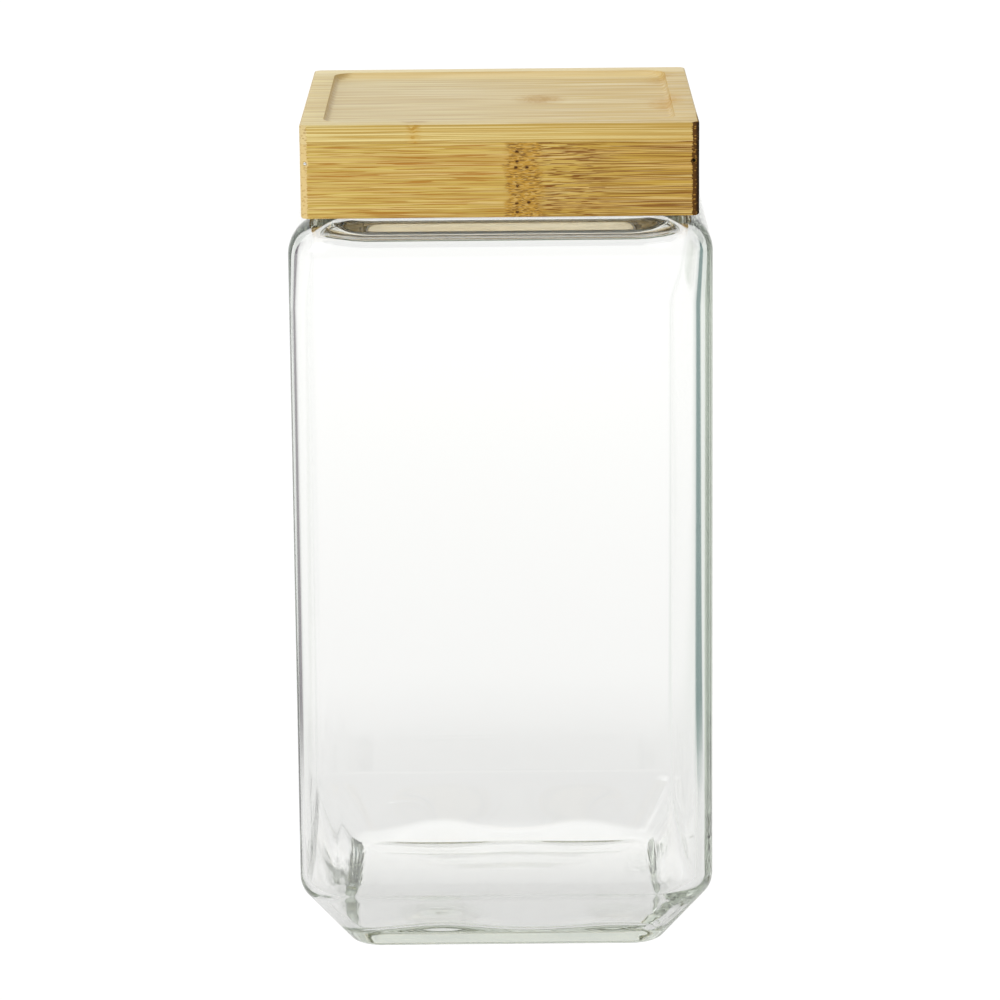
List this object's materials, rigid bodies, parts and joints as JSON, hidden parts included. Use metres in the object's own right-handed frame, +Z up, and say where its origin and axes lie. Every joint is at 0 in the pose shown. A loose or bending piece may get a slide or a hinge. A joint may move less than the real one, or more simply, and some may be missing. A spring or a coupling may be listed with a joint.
{
  "type": "glass storage jar",
  "caption": "Tall square jar of clear glass with a chamfered foot and a push-in bamboo lid, sealed by a silicone ring and recessed on top for stacking.",
  "frame": {"origin": "centre of the foot, on the plane that the jar stands on", "axes": "+Z up through the mouth, -Y towards the side that the picture shows from the front, +X to that view's right"},
  "size_m": [0.1128, 0.1128, 0.2297],
  "materials": {
    "clear_glass": "clear soda-lime glass, fire polished",
    "bamboo_board": "flat-laid bamboo board, sanded and oiled",
    "bamboo_rail": "bamboo strip on edge, sanded and oiled",
    "bamboo_plug": "bamboo board, sanded and oiled",
    "clear_silicone": "translucent moulded silicone",
    "bright_steel": "drawn steel wire, bright"
  },
  "bodies": {
    "jar": {"glass_jar": "clear_glass"},
    "lid": {"lid_top_board": "bamboo_board", "lid_front_rail": "bamboo_rail", "lid_back_rail": "bamboo_rail", "lid_left_rail": "bamboo_rail", "lid_right_rail": "bamboo_rail", "brad_front_left": "bright_steel", "brad_front_right": "bright_steel", "brad_back_left": "bright_steel", "brad_back_right": "bright_steel", "lid_plug_board": "bamboo_plug", "seal_ring": "clear_silicone"}
  },
  "joints": [
    {"name": "lid_lift", "type": "slide", "parent": "jar", "child": "lid", "axis": [0, 0, 1], "range_m": [0, 0.05]}
  ]
}
